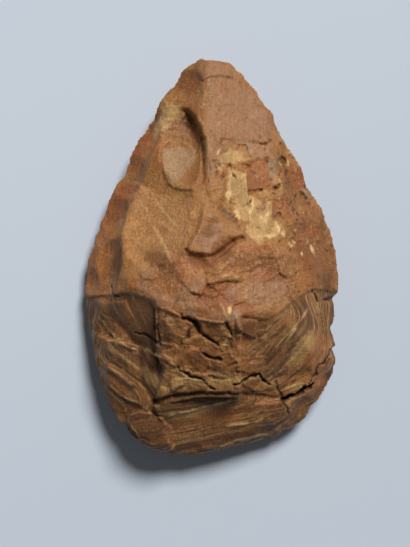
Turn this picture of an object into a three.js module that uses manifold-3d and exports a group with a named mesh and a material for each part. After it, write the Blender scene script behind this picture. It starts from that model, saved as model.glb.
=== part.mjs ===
// Stone hand axe: one solid, flaked on both faces, lying on its flat spot with the tip towards +Y.
// Millimetres, +Z up. The origin is under the middle of the outline, on the surface that it lies on.
import * as THREE from "three";
import { mergeVertices } from "three/addons/utils/BufferGeometryUtils.js";
import ManifoldModule from "manifold-3d";

const wasm = await ManifoldModule();
wasm.setup();

// Driving dimensions.
const LENGTH = 140; // tip to butt
const CREST_HEIGHT = 42; // thickest place, at the hump over the butt
const TIP_CREST_HEIGHT = 19;
const TIP_KEEL_HEIGHT = 7;
const KEEL_DROP = 1.5; // how far the blank's underside would reach below the flat spot
const CREST_X = -1.5; // the long ridge lies a little left of the middle
const BUTT_CREST_Y = -19; // where the long ridge ends over the butt
const TIP_CREST_Y = 59; // and behind the tip
const BUTT_KEEL_Y = -40;
const TIP_KEEL_Y = 54;
const BUTT_CROWN = 2.2; // above 1 the faces swell between the margin and the crest
const TIP_CROWN = 1.6;
const KEEL_CROWN = 1.9;
const CREST_BEND = 1.35; // above 1 the crest and the keel hold their level and then bend to the tip
const KEEL_BEND = 2.6;

// Meshing.
const MARGIN_SAMPLES = 72;
const RINGS = [0.07, 0.16, 0.28, 0.42, 0.57, 0.72, 0.86, 0.97]; // shares of the way from margin to crest
const SCAR_DETAIL = 5; // of the ball that a flake scar is cut with
const BITE_DETAIL = 2;
const MESH_TOLERANCE = 0.03;
const BEYOND = 120; // reaches past the stone from anywhere in it

// The margin, counter-clockwise from the left of the blunt tip: places in plan, and heights. It dips at
// the left, where the axe leans, and stands highest at the left of the butt. A curve runs through it.
const MARGIN = [
  [-4.4, 69.8, 12], [-15.4, 59.6, 11], [-21.6, 48.4, 10], [-28.8, 36, 9], [-36.6, 19.6, 7.5],
  [-43, 2.6, 6], [-45.4, -12, 5], [-43.4, -26, 8], [-39.6, -42, 11], [-34.2, -55, 13],
  [-24.8, -65.4, 16.5], [-9, -70, 12.5], [16, -65.8, 8], [27.6, -62.4, 7], [37, -52.4, 8],
  [44.4, -38, 9], [43.8, -24, 10], [45.4, -8, 10], [43.6, 6, 10], [36.8, 22.4, 10.5],
  [28, 39.8, 11], [18.4, 56, 11.5], [8.6, 67.4, 12], [3.6, 69.8, 12],
];

// Flake scars. A scar is a shallow hollow centred at a place, with its long axis along a heading
// (degrees from +X), cut to a depth below the blank. Its bowl is its depth over its radius upright:
// 0.25 is a dish, and towards 1 the walls stand up.
const UPPER_SCARS = [
  { name: "broad left", at: [-19, 10], heading: 68, length: 66, width: 38, depth: 3.4, bowl: 0.2 },
  { name: "left hump", at: [-17, -9], heading: 90, length: 34, width: 28, depth: 1.6 },
  { name: "left shoulder", at: [-36, -4], heading: 82, length: 30, width: 17, depth: 2.4 },
  { name: "left strip low", at: [-34, 13], heading: 72, length: 22, width: 15, depth: 2 },
  { name: "left strip high", at: [-28, 28], heading: 66, length: 22, width: 15, depth: 1.9 },
  { name: "deep notch", at: [-11, 38], heading: -72, length: 40, width: 17.5, depth: 4.4, bowl: 0.42 },
  { name: "beside the notch", at: [-22, 40], heading: 66, length: 18, width: 11, depth: 1.4 },
  { name: "tip left", at: [-10, 57], heading: -35, length: 26, width: 20, depth: 1.9 },
  { name: "tip end", at: [1, 67], heading: 5, length: 18, width: 13, depth: 1.2 },
  { name: "tip face", at: [10, 49], heading: -62, length: 50, width: 28, depth: 1.7, bowl: 0.12 },
  { name: "rough heart", at: [15, 21], heading: 75, length: 42, width: 32, depth: 2.4, bowl: 0.2 },
  { name: "right strip top", at: [26, 38], heading: 118, length: 24, width: 14, depth: 1.8 },
  { name: "right strip high", at: [32, 22], heading: 115, length: 24, width: 16, depth: 2.1 },
  { name: "right strip low", at: [38, 4], heading: 105, length: 28, width: 17, depth: 2.2 },
  { name: "rippled hump", at: [13, -8], heading: 8, length: 62, width: 30, depth: 2.4, bowl: 0.2 },
];

// Cleaved faces of the butt. Each takes off everything above a sloping plane, inside its plan.
// The plane passes through a place at a height, and falls away towards a facing.
const UPPER_CLEAVES = [
  { name: "under the plate", through: [-1, 1.4, 36.4], facing: 80, slope: 22,
    within: [[-8.8, 1.4], [0.4, 0.4], [4, 2.4], [7.6, 6], [13, 7.4], [30, 6],
      [30, -18], [-14, -18], [-12, -2]] },
  { name: "middle shelf", through: [0, -20.5, 41], facing: 250, slope: 23,
    within: [[-18.3, 0], [24, 0], [24, -49], [14, -48.4], [5, -47.8], [-4, -47.8],
      [-12, -49.6], [-19.7, -51.3]] },
  { name: "right shelf", through: [20, -21, 34.8], facing: 305, slope: 33,
    within: [[10, 0], [60, 0], [60, -32.5], [43, -32.5], [38, -40.5], [32.4, -46.4],
      [25.4, -50], [10, -52]] },
  { name: "dark block", through: [-31, -13.5, 25], facing: 205, slope: 42,
    within: [[-60, 0], [-30, 0], [-18.8, -10], [-18.2, -33.5], [-45, -26], [-60, -21.8]] },
  { name: "layered corner", through: [-18.2, -33.5, 28.5], facing: 205, slope: 32,
    within: [[-60, -21.8], [-45, -26], [-18.2, -33.5], [-15.6, -38], [-19.7, -51.3], [-28, -54.5],
      [-40, -80], [-60, -60]] },
  { name: "butt face", through: [0, -48, 25.5], facing: 283, slope: 34,
    within: [[-19.7, -51.3], [-12, -49.6], [-4, -47.8], [5, -47.8], [14, -48.4], [25.4, -49.4],
      [28, -90], [-14, -90], [-13, -67]] },
  { name: "right slab", through: [34, -49, 15.5], facing: 320, slope: 34,
    within: [[25.4, -50], [32.4, -46.4], [38, -40.5], [43, -32.5], [60, -32], [60, -90], [28, -90]] },
  { name: "cleft", through: [29, -48.6, 12.5], facing: 0, slope: 0,
    within: [[25, -49.8], [32.2, -46.2], [33.2, -47.4], [26.2, -51.4]] },
  { name: "left foot block", through: [-22, -58, 20.2], facing: 240, slope: 22,
    within: [[-60, -56], [-28, -54.5], [-19.7, -51.3], [-13, -67], [-14, -90], [-60, -90]] },
];

// Flake scars of the underside.
const LOWER_SCARS = [
  { name: "tip underside", at: [2, 56], heading: 85, length: 32, width: 26, depth: 1.6 },
  { name: "left upper", at: [-17, 36], heading: 40, length: 36, width: 26, depth: 2.4 },
  { name: "right upper", at: [18, 32], heading: 140, length: 38, width: 28, depth: 2.4 },
  { name: "left middle", at: [-28, 10], heading: 12, length: 32, width: 32, depth: 2.6 },
  { name: "right middle", at: [29, 3], heading: 170, length: 32, width: 34, depth: 2.6 },
  { name: "left lower", at: [-32, -20], heading: -8, length: 30, width: 32, depth: 2.4 },
  { name: "right lower", at: [32, -26], heading: 190, length: 30, width: 30, depth: 2.6 },
  { name: "left heel", at: [-24, -46], heading: -50, length: 32, width: 28, depth: 2.2 },
  { name: "right heel", at: [22, -50], heading: 230, length: 34, width: 28, depth: 2.2 },
  { name: "heel", at: [-1, -60], heading: 90, length: 26, width: 28, depth: 1.8 },
];

// Small flakes struck off along the sharp edge, alternately from above and below.
const BITES = 46;
const BITE_LENGTH = 13;
const BITE_WIDTH = 8;
const BITE_DEPTH = 0.9;
const BITE_INSET = 3.8; // from the margin to the middle of a bite

// The height of the margin's nearest drawn place.
function marginHeight(x, y) {
  const away = ([px, py]) => Math.hypot(px - x, py - y);
  return MARGIN.reduce((nearest, place) => (away(place) < away(nearest) ? place : nearest))[2];
}

function crestHeight(y) {
  const share = (y - BUTT_CREST_Y) / (TIP_CREST_Y - BUTT_CREST_Y);
  return CREST_HEIGHT - (CREST_HEIGHT - TIP_CREST_HEIGHT) * Math.pow(share, CREST_BEND);
}

function keelHeight(y) {
  const share = (y - BUTT_KEEL_Y) / (TIP_KEEL_Y - BUTT_KEEL_Y);
  return -KEEL_DROP + (TIP_KEEL_HEIGHT + KEEL_DROP) * Math.pow(share, KEEL_BEND);
}

// The blank before flaking: rings of points that climb from the margin to the crest, and sink to the keel.
function blankGeometry() {
  const curve = new THREE.CatmullRomCurve3(
    MARGIN.map(([x, y, z]) => new THREE.Vector3(x, y, z)), true, "centripetal");
  const margin = curve.getSpacedPoints(MARGIN_SAMPLES).slice(0, MARGIN_SAMPLES);
  const points = [...margin];
  const faces = [];
  const count = MARGIN_SAMPLES;

  const side = (lowY, highY, heightOf, crownOf, up) => {
    let outer = 0;
    for (const share of RINGS) {
      const inner = points.length;
      for (const p of margin) {
        const y = THREE.MathUtils.clamp(p.y, lowY, highY);
        const swell = 1 - Math.pow(1 - share, crownOf(y));
        points.push(new THREE.Vector3(
          THREE.MathUtils.lerp(p.x, CREST_X, share),
          THREE.MathUtils.lerp(p.y, y, share),
          THREE.MathUtils.lerp(p.z, heightOf(y), swell)));
      }
      for (let i = 0; i < count; i++) {
        const j = (i + 1) % count;
        const quad = [outer + i, outer + j, inner + j, inner + i];
        faces.push(...(up ? [quad[0], quad[1], quad[2], quad[0], quad[2], quad[3]]
          : [quad[0], quad[2], quad[1], quad[0], quad[3], quad[2]]));
      }
      outer = inner;
    }
    for (let i = 0; i < count / 2; i++) { // the last ring's two flanks are joined along the crest
      const strip = [i, i + 1, count - i - 1, (count - i) % count].map((k) => outer + k);
      const [a, b, c, d] = strip;
      if (i > 0) faces.push(...(up ? [a, b, d] : [a, d, b]));
      if (b !== c) faces.push(...(up ? [b, c, d] : [b, d, c]));
    }
  };
  const crestCrown = (y) => THREE.MathUtils.mapLinear(y, BUTT_CREST_Y, TIP_CREST_Y, BUTT_CROWN, TIP_CROWN);
  side(BUTT_CREST_Y, TIP_CREST_Y, crestHeight, crestCrown, true);
  side(BUTT_KEEL_Y, TIP_KEEL_Y, keelHeight, () => KEEL_CROWN, false);

  const geometry = new THREE.BufferGeometry().setFromPoints(points);
  geometry.setIndex(faces);
  return geometry;
}

function toSolid(geometry) {
  const bare = geometry.clone();
  bare.deleteAttribute("normal");
  bare.deleteAttribute("uv");
  const merged = mergeVertices(bare, 1e-4);
  return new wasm.Manifold(new wasm.Mesh({
    numProp: 3,
    vertProperties: new Float32Array(merged.attributes.position.array),
    triVerts: new Uint32Array(merged.index.array),
  }));
}

function toGeometry(solid) {
  const mesh = solid.getMesh();
  const geometry = new THREE.BufferGeometry();
  geometry.setAttribute("position", new THREE.BufferAttribute(mesh.vertProperties, mesh.numProp));
  geometry.setIndex(new THREE.BufferAttribute(mesh.triVerts, 1));
  geometry.computeVertexNormals();
  return geometry;
}

// Reads the blank's height above or below a place, and the slope of the ground around it.
function surveyor(geometry) {
  const mesh = new THREE.Mesh(geometry, new THREE.MeshBasicMaterial({ side: THREE.DoubleSide }));
  const ray = new THREE.Raycaster();
  const height = (x, y, up) => {
    ray.set(new THREE.Vector3(x, y, up * BEYOND), new THREE.Vector3(0, 0, -up));
    const hit = ray.intersectObject(mesh)[0];
    return hit ? hit.point.z : marginHeight(x, y);
  };
  const normal = (x, y, up, span) => new THREE.Vector3(
    height(x - span, y, up) - height(x + span, y, up),
    height(x, y - span, up) - height(x, y + span, up),
    2 * span).multiplyScalar(up).normalize();
  return { height, normal };
}

// The ball that a flake scar is cut with, flattened to the scar's size and set over the surface.
function scarGeometry(scar, survey, up, detail) {
  const [x, y] = scar.at;
  const bowl = scar.bowl ?? 0.25;
  const upright = scar.depth / bowl;
  const footprint = Math.sqrt(1 - (1 - bowl) ** 2);
  const out = survey.normal(x, y, up, scar.width / 4);
  const heading = THREE.MathUtils.degToRad(scar.heading);
  const along = new THREE.Vector3(Math.cos(heading), Math.sin(heading), 0);
  along.addScaledVector(out, -along.dot(out)).normalize();
  const across = new THREE.Vector3().crossVectors(out, along);
  const centre = new THREE.Vector3(x, y, survey.height(x, y, up)).addScaledVector(out, upright - scar.depth);
  return new THREE.IcosahedronGeometry(1, detail)
    .scale(scar.length / 2 / footprint, scar.width / 2 / footprint, upright)
    .applyMatrix4(new THREE.Matrix4().makeBasis(along, across, out).setPosition(centre));
}

// The block above a cleaved face: its plan, raised, with its foot on the sloping plane.
function cleaveGeometry(cleave) {
  const [x, y, top] = cleave.through;
  const facing = THREE.MathUtils.degToRad(cleave.facing);
  const fall = Math.tan(THREE.MathUtils.degToRad(cleave.slope));
  const geometry = new THREE.ExtrudeGeometry(
    new THREE.Shape(cleave.within.map(([px, py]) => new THREE.Vector2(px, py))),
    { depth: BEYOND, bevelEnabled: false });
  const place = geometry.attributes.position;
  for (let i = 0; i < place.count; i++) {
    if (place.getZ(i) > 0) continue;
    const away = (place.getX(i) - x) * Math.cos(facing) + (place.getY(i) - y) * Math.sin(facing);
    place.setZ(i, top - away * fall);
  }
  return geometry;
}

// Bites all along the margin. Their sizes wander by a sum of sines, so that no two neighbours match.
function biteScars() {
  const places = MARGIN.map(([x, y]) => new THREE.Vector3(x, y, 0));
  const curve = new THREE.CatmullRomCurve3(places, true, "centripetal");
  return Array.from({ length: BITES }, (_, i) => {
    const wander = Math.sin(i * 2.4) + 0.6 * Math.sin(i * 5.1 + 1);
    const share = (i + 0.25 * wander) / BITES;
    const place = curve.getPointAt(((share % 1) + 1) % 1);
    const tangent = curve.getTangentAt(((share % 1) + 1) % 1);
    const inward = new THREE.Vector3(-tangent.y, tangent.x, 0);
    place.addScaledVector(inward, BITE_INSET);
    return {
      at: [place.x, place.y],
      heading: THREE.MathUtils.radToDeg(Math.atan2(inward.y, inward.x)),
      length: BITE_LENGTH * (1 + 0.15 * wander),
      width: BITE_WIDTH * (1 + 0.2 * wander),
      depth: BITE_DEPTH * (1 + 0.3 * wander),
      up: i % 2 ? 1 : -1,
    };
  });
}

function flakedStone() {
  const blank = blankGeometry();
  const survey = surveyor(blank);
  const cuts = [
    ...UPPER_SCARS.map((scar) => scarGeometry(scar, survey, 1, SCAR_DETAIL)),
    ...UPPER_CLEAVES.map(cleaveGeometry),
    ...LOWER_SCARS.map((scar) => scarGeometry(scar, survey, -1, SCAR_DETAIL)),
    ...biteScars().map((bite) => scarGeometry(bite, survey, bite.up, BITE_DETAIL)),
    new THREE.BoxGeometry(2 * BEYOND, 2 * BEYOND, BEYOND).translate(0, 0, -BEYOND / 2), // the flat spot
  ];
  const flaked = cuts.reduce((stone, cut) => stone.subtract(toSolid(cut)), toSolid(blank));
  const pieces = flaked.simplify(MESH_TOLERANCE).decompose(); // the stone, and slivers between two cuts
  return pieces.reduce((largest, piece) => (piece.volume() > largest.volume() ? piece : largest));
}

// Scales the stone to its length and sets it over the origin.
function settledGeometry(stone) {
  const geometry = toGeometry(stone);
  geometry.computeBoundingBox();
  const box = geometry.boundingBox;
  const scale = LENGTH / (box.max.y - box.min.y);
  geometry.translate(-(box.min.x + box.max.x) / 2, -(box.min.y + box.max.y) / 2, -box.min.z);
  geometry.scale(scale, scale, scale);
  return geometry;
}

const handAxe = new THREE.Mesh(
  settledGeometry(flakedStone()),
  new THREE.MeshStandardMaterial({ color: 0x9a6a45, roughness: 0.75, metalness: 0 }));
handAxe.name = "hand_axe";

const axe = new THREE.Group();
axe.add(handAxe);

export default axe;
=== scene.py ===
"""The stone hand axe: the flaked stone with its relief, its banded colours, a floor, light and camera.

Lengths in the relief are millimetres in the row frame: +X right, +Y towards the tip, +Z up.
"""
import math

import bmesh
import bpy
import numpy as np
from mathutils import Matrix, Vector
from mathutils.bvhtree import BVHTree


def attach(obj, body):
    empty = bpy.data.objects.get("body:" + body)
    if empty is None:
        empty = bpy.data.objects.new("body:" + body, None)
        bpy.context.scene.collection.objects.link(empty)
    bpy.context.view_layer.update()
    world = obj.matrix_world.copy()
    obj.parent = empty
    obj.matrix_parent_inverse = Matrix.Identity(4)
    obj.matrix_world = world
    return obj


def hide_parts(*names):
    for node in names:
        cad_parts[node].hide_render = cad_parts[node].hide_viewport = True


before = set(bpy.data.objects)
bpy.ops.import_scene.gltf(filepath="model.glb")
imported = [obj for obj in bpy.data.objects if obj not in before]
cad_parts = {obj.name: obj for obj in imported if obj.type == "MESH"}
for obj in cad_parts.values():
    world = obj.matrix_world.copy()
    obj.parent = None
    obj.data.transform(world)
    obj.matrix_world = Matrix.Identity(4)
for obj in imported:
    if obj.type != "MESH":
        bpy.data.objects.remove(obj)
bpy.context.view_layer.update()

MM = 0.001
SEED = 11

# Mesh.
COARSE_VOXEL = 0.95  # of the first remesh; faces that look up are then split in four
PROJECT_REACH = 3.0  # a vertex farther than this from the CAD surface stays where it is
SMOOTH_ROUNDS = 3
SMOOTH_SHARE = 0.6  # how far a vertex moves to the mean of its neighbours in each round
UPWARD = 0.05  # a face whose normal's Z is above this belongs to the upper side
CELL_REACH = 80.0  # scattered centres fill a square of twice this

# The rock's layers lie almost flat, and bend along both flanks.
LAYER_NORMAL = np.array([0.03, -0.09, 0.995])
FLANKS = [(-18, 0.40, -1), (31, 0.45, 1)]  # where the layers bend, how steeply, and to which side
FLANK_SPAN = 4.0  # the bend is spread over about this

# Folds on the butt, where the layers show as straight streaks with this heading.
FOLDS = [
    {"at": (27.5, -31), "radius": 10.5, "heading": 47},
    {"at": (-33, -42), "radius": 10, "heading": -38},
    {"at": (-1, -59), "radius": 13, "heading": 12},
]
FOLD_FADE = (0.7, 1.6)  # a fold fades between these shares of its radius

# The camera's place over the stone, and the level that its picture is framed on.
EYE = (-2.1, -6.0, 480.0)
MARGIN_LEVEL = 10.0
HALF_ANGLE = 11.6  # degrees, of the camera's longer side

NOISE_TABLE = 4096
HASH_PRIMES = np.array([73856093, 19349663, 83492791])  # mix a cell's three numbers into one key
OCTAVES_SUM = 1.6  # brings the sum of the octaves back to about -1 to 1
LAYER_TABLE = 1024

# How drawn lines wobble: (amount, size) of the noises that shift them.
SLOW_WOBBLE = (0.45, 6)
FAST_WOBBLE = (0.2, 1.3)


# ---- numbers and noise

def smooth(low, high, value):
    """0 below low, 1 above high, and an S-curve between them."""
    t = np.clip((value - low) / (high - low), 0, 1)
    return t * t * (3 - 2 * t)


def noise(points, size, seed):
    """Smooth noise from -1 to 1 at (N, 3) points; its lumps are about size across."""
    table = np.random.default_rng(SEED + seed).uniform(-1, 1, NOISE_TABLE)
    scaled = points / size
    cell = np.floor(scaled).astype(np.int64)
    t = scaled - cell
    t = t * t * (3 - 2 * t)
    total = np.zeros(len(points))
    for corner in range(8):
        offset = np.array([corner & 1, corner >> 1 & 1, corner >> 2 & 1])
        key = (cell + offset) @ HASH_PRIMES
        weight = np.prod(np.where(offset, t, 1 - t), axis=1)
        total += weight * table[(key ^ key >> 13) % NOISE_TABLE]
    return total


def fractal(points, size, octaves, seed):
    """Noise with finer and weaker noise laid over it."""
    total = np.zeros(len(points))
    for octave in range(octaves):
        total += noise(points, size / 2 ** octave, seed + octave) / 2 ** octave
    return total / OCTAVES_SUM


def stretched(points, heading, ratio):
    """Points squeezed along a plan heading in degrees, so that noise read there runs long that way."""
    a = math.radians(heading)
    run = (points[:, 0] * math.cos(a) + points[:, 1] * math.sin(a)) / ratio
    cross = points[:, 1] * math.cos(a) - points[:, 0] * math.sin(a)
    return np.column_stack([run, cross, points[:, 2]])


# ---- lines and patches in plan

class Plan:
    """Distances from the mesh's vertices to drawn lines and outlines, with a natural wobble.

    Places are drawn as seen from the camera, on the level of the margin.
    """

    def __init__(self, points):
        nearer = (EYE[2] - MARGIN_LEVEL) / (EYE[2] - points[:, 2])
        flat = np.column_stack([(points[:, 0] - EYE[0]) * nearer + EYE[0],
                                (points[:, 1] - EYE[1]) * nearer + EYE[1],
                                np.zeros(len(points))])
        sway = [SLOW_WOBBLE[0] * fractal(flat, SLOW_WOBBLE[1], 3, seed)
                + FAST_WOBBLE[0] * noise(flat, FAST_WOBBLE[1], seed + 9) for seed in (40, 60)]
        self.x = flat[:, 0] + sway[0]
        self.y = flat[:, 1] + sway[1]
        self.flat = flat
        self.warped = np.column_stack([self.x, self.y])

    def line(self, places):
        """(distance, side, share): side is + left of the way the line runs, and share goes from 0 to 1."""
        best = np.full(len(self.x), 1e9)
        side = np.zeros(len(self.x))
        run = np.zeros(len(self.x))
        done = 0.0
        for (ax, ay), (bx, by) in zip(places, places[1:]):
            dx, dy = bx - ax, by - ay
            length = math.hypot(dx, dy)
            t = np.clip(((self.x - ax) * dx + (self.y - ay) * dy) / length ** 2, 0, 1)
            away = np.hypot(self.x - ax - t * dx, self.y - ay - t * dy)
            near = away < best
            best = np.where(near, away, best)
            turn = dx * (self.y - ay) - dy * (self.x - ax)
            side = np.where(near, np.sign(turn), side)
            run = np.where(near, done + t * length, run)
            done += length
        return best, side, run / done

    def inside(self, outline):
        """Distance to a closed outline: positive inside it, negative outside."""
        closed = [*outline, outline[0]]
        away, _, _ = self.line(closed)
        within = np.zeros(len(self.x), bool)
        for (ax, ay), (bx, by) in zip(closed, closed[1:]):
            if ay == by:
                continue
            crosses = (self.y < ay) != (self.y < by)
            within ^= crosses & (self.x < ax + (self.y - ay) * (bx - ax) / (by - ay))
        return np.where(within, away, -away)

    def spot(self, x, y, radius, stretch=1.0, heading=0.0):
        """1 in the middle of a soft oval spot, 0 outside it."""
        a = math.radians(heading)
        dx, dy = self.x - x, self.y - y
        run = (dx * math.cos(a) + dy * math.sin(a)) / stretch
        cross = dy * math.cos(a) - dx * math.sin(a)
        return np.exp(-(run ** 2 + cross ** 2) / radius ** 2)


# ---- what is carved into the upper side

# Swells and hollows: (x, y, radius, how many times as long, heading, height).
SWELLS = [
    (-19.5, -15, 1.7, 3.6, -4, 0.7), (-11, -4.4, 2.4, 2.6, -35, 0.6), (9, -6.8, 1.5, 4, 2, 0.5),
    (15, -12, 4, 1.6, 30, 0.5), (-3, -2.6, 3, 1.9, -18, -0.6), (14, 1, 4, 2.2, 0, 0.5),
    (-13, -8, 3.4, 2.4, -42, 0.7), (0, -15, 4, 1.4, 60, -0.5), (18, -13, 6, 1.6, 20, 0.5),
    (4, -7, 2.4, 2.6, 5, 0.6), (-22, 16, 7, 2.4, 66, -0.7), (-28, -8, 3, 2, 30, 0.6),
    (-9, 12, 3, 3, 75, -0.5), (-15, 5, 5, 1.8, 10, 0.4), (6, 56, 6, 1.8, -60, 0.5),
    (14, 46, 5, 1.8, -30, -0.4), (8, 43, 3, 1.8, 20, 0.5), (26, 36, 3, 2.6, -62, -0.5),
    (7, 14.6, 2.6, 2, -38, -0.9), (8, 26, 3.4, 1.8, 88, 0.6), (22, 9, 3.4, 2, 10, 0.5),
    (33, 14, 3, 2.4, -65, -0.5), (38, -3, 4, 2, 80, 0.5), (-13, -27, 3, 2, -60, 0.5),
    (27, -30, 5, 2, 50, 0.7), (12, -26, 4, 1.6, 20, 0.5), (-30, -38, 4, 2, -45, 0.8),
    (-18, -42, 3, 1.6, 0, 0.7), (4, -56, 4, 3.4, 11, -0.5), (-21, -61, 4, 1.5, -30, 0.6),
    (-1, 66, 3, 1.5, 0, 0.35), (-14, 50, 3, 1.6, 40, 0.7), (-21, 34, 3, 2.2, 62, 0.6),
    (-38, -9, 3, 2, 80, 0.5),
]

# Steps: at once left of the line the ground is lower by drop, or higher where drop is below 0, and it
# comes back over a distance of about fade. The step is soft to each side of the line.
# (drop, fade, soft, line)
STEPS = [
    # Under the pale patch in the deep scar, and round the plate below it.
    (-0.7, 5, 0.22, [(-17.6, 36), (-16.8, 29.5), (-15.4, 26), (-12.6, 24.4), (-9, 23.5), (-5, 22.8)]),
    (-1, 6, 0.2, [(-2.8, 18), (-3, 14.5), (-4.6, 9), (-6.4, 5.4), (-9, 1.8)]),
    (-0.5, 4, 0.6, [(-9.2, 1.9), (-6.4, 0.7), (-2, 0.1), (0.8, 0.6), (3, 3), (5.6, 5.8), (8.4, 8)]),
    (1.2, 2.4, 0.35, [(0.4, -2.4), (4, 0.8), (8, 4.4), (12.4, 6.6)]),
    (-0.3, 3, 0.6, [(12, 6.6), (17, 5.4), (22, 6)]),
    # Over the hump.
    (-0.6, 3, 0.3, [(-1, -3.6), (4, -4.8), (10, -5.4), (16, -4.6)]),
    (-1.1, 5, 0.3, [(-1.6, -9.4), (2, -9), (5, -8.6), (10.4, -9.2)]),
    (1, 5, 0.3, [(-1, -9.4), (-3, -12.6), (-5.6, -16)]),
    # Across the left of the face.
    (-0.4, 4, 0.6, [(-37.4, 6), (-33.6, 5.6), (-31, 1.4), (-31.6, -4), (-35, -7)]),
    (-0.2, 7, 0.8, [(-30, 9.4), (-23, 8.4), (-15, 9.6)]),
    # By the tip, and over the rough heart and its insets.
    (-0.6, 4, 0.25, [(-4, 62), (0, 63.6), (3, 63.8), (7.4, 62.8)]),
    (-0.35, 4, 0.3, [(2, 40.8), (8, 41.4), (14, 40.6), (21, 40.2)]),
    (0.4, 5, 0.3, [(20.2, 34.6), (12.8, 33.6)]),
    (0.2, 3, 0.3, [(12.8, 34), (13.2, 22)]),
    (0.2, 3, 0.3, [(21.4, 24), (20.2, 34.4)]),
    (0.55, 3, 0.22, [(1.8, 34.2), (4.4, 30), (5, 22)]),
    (-0.5, 3, 0.22, [(21, 19.6), (27.6, 19.6), (28.4, 14)]),
    (-0.5, 4, 0.3, [(29.4, 5.4), (39, 5.2)]),
    # Lips of layers on the butt.
    (-0.8, 3, 0.22, [(-36.8, -26.4), (-31, -30.8), (-28, -32.8), (-25.4, -33.4)]),
    (-0.8, 3, 0.22, [(-24, -32.8), (-20, -34.8), (-17, -36.3), (-14, -37.8), (-11.5, -39.4)]),
    (-0.9, 3, 0.22, [(-40.5, -34.4), (-36, -39.4), (-31, -43.4), (-26.6, -46.6)]),
    (-0.9, 3, 0.22, [(-37.5, -45.4), (-31, -49.8), (-26, -52.4), (-22, -55.4)]),
    (-0.6, 3, 0.25, [(-18, -57.6), (-10, -55.6), (0, -53), (8, -50.6)]),
    (-0.4, 3, 0.25, [(4, -60.4), (12, -59.2), (22, -57.4)]),
    # A lump at the lower left, the lowest edge, and streaks at the right flank.
    (1.1, 4, 0.3, [(-24, -66.4), (-28.2, -60.4), (-30, -56), (-26, -54.6), (-21, -55.4), (-16.8, -57.4),
        (-14.2, -60.4), (-12, -65)]),
    (-1.2, 4, 0.3, [(-6, -68.2), (4, -66.9), (12, -64.6), (20, -63), (26, -60.8)]),
    (0.4, 3, 0.3, [(24, -33), (29, -26), (34, -18)]),
    (0.4, 3, 0.3, [(29, -37), (34, -29), (38, -22)]),
]

# Cracks: open lines that pinch and widen, darkened with painted shade. (width, depth, line)
CRACKS = [
    # Through the broken middle of the butt.
    (0.75, 1.6, [(-11, -18.9), (-9, -21.4), (-6.4, -22.6), (-5, -24.6), (-3.4, -27), (-1, -29),
        (2.6, -31)]),
    (0.55, 0.9, [(-6.8, -25.4), (-9, -28.6), (-10.6, -31.4)]),
    (1, 2, [(-3.8, -32.8), (-1.6, -34.6), (2.8, -36.4)]),
    (0.65, 1.4, [(-11.6, -38.6), (-10, -40.6), (-6, -42.5), (-3, -42.9), (-1, -45), (1.6, -46.6)]),
    (0.8, 1.8, [(8, -45.4), (12, -43.2), (17.2, -41.3)]),
    (1.1, 2.2, [(17, -41.4), (18, -43.4), (20.4, -44.6)]),
    # The cleft at the lower right, and what runs on from it.
    (1.3, 4, [(25.4, -50.4), (29.6, -48.8), (33.8, -46.4), (36, -45)]),
    (0.5, 1.3, [(34.6, -45), (36.2, -42), (38, -39.6), (41, -36), (42.4, -32.6)]),
    (0.5, 1, [(22.4, -44), (24.4, -48), (26, -52), (27.4, -55.4)]),
    # At the left, and down the middle of the butt.
    (0.6, 1.3, [(-35.4, -9), (-34.8, -12.4), (-32.4, -14.6)]),
    (0.55, 1.2, [(-26.8, -26.8), (-23, -27.6), (-20, -29), (-18.2, -31)]),
    (0.8, 0.8, [(-18.6, -19.4), (-18.8, -25), (-18, -31.4)]),
    (0.45, 0.8, [(-19.2, -35.6), (-18.6, -40)]),
    (0.6, 1.2, [(5.4, -23.6), (6.4, -26), (7.2, -28)]),
    # Over the face and its rough heart.
    (0.4, 0.7, [(17, 39.6), (19.4, 39.4), (21, 40.4)]),
    (0.4, 0.8, [(20.6, 23.4), (22.6, 24.2), (26, 25.8), (30, 26.6)]),
    (0.45, 0.8, [(25.4, 33.6), (26.4, 31), (27.4, 27)]),
    (0.6, 0.9, [(31.6, 22.6), (33.4, 20.4)]),
    (0.65, 1.1, [(29, 17.4), (29.8, 14.8)]),
    (0.35, 0.6, [(13, 19), (13.8, 17.4), (14.2, 20.4)]),
    (0.28, 0.5, [(2, 34), (4.2, 30.4), (4.4, 26), (4.8, 21.6)]),
    (0.3, 0.5, [(-0.6, 33), (-0.2, 29), (-0.6, 26)]),
    (0.35, 0.4, [(-24.2, 32.8), (-23.7, 30.8)]),
    (0.35, 0.4, [(-23.6, 26), (-22.2, 24.8)]),
    # Under the ridge, to the right margin.
    (0.6, 1.4, [(35.6, -12), (37.6, -15.6), (40, -15.2), (44.6, -14.6)]),
]

# Grooves: soft valleys along a line, also darkened with painted shade. (width, depth, line)
GROOVES = [
    (1.2, 0.9, [(-37.4, -18), (-33, -23), (-29, -27), (-26, -31), (-24.6, -35), (-24.8, -40), (-24, -45),
        (-21, -50), (-16.5, -54)]),
    (1, 0.9, [(-19, -17.5), (-18.8, -24), (-18.2, -31)]),
    (1.6, 0.7, [(1.2, -1.4), (4, 2), (8.4, 6.6)]),
    (2.4, 0.3, [(-37, 5), (-33.4, 0), (-35, -6)]),
    (0.9, 0.8, [(2, 17.4), (5, 15), (9.4, 12)]),
    (1.4, 0.6, [(20, -43), (28, -42.4), (36, -40)]),
]

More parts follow.
